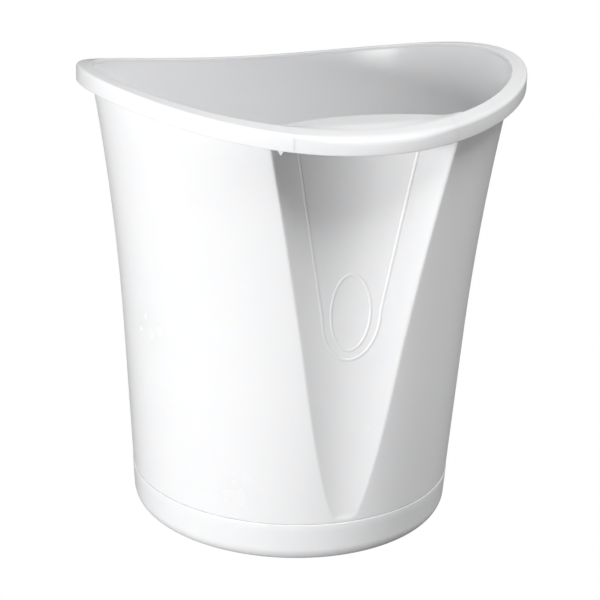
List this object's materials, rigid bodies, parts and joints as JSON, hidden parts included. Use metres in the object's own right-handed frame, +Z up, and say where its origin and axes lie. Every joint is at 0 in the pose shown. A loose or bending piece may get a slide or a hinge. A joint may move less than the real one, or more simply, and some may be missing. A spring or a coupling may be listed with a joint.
{
  "type": "waste bin",
  "caption": "Round tapered waste bin with a wave rim, a V-shaped finger recess under a front grip shelf and a foot band.",
  "frame": {"origin": "middle of the base, on the ground", "axes": "+Z up; -Y towards the front, where the finger recess and the grip shelf are; +X to the side"},
  "size_m": [0.32, 0.32, 0.3435],
  "materials": {
    "white_plastic": "semi-gloss white polypropylene"
  },
  "bodies": {
    "root": {"bin_body": "white_plastic", "rim_collar": "white_plastic", "front_grip": "white_plastic", "foot_ring": "white_plastic"}
  },
  "joints": []
}
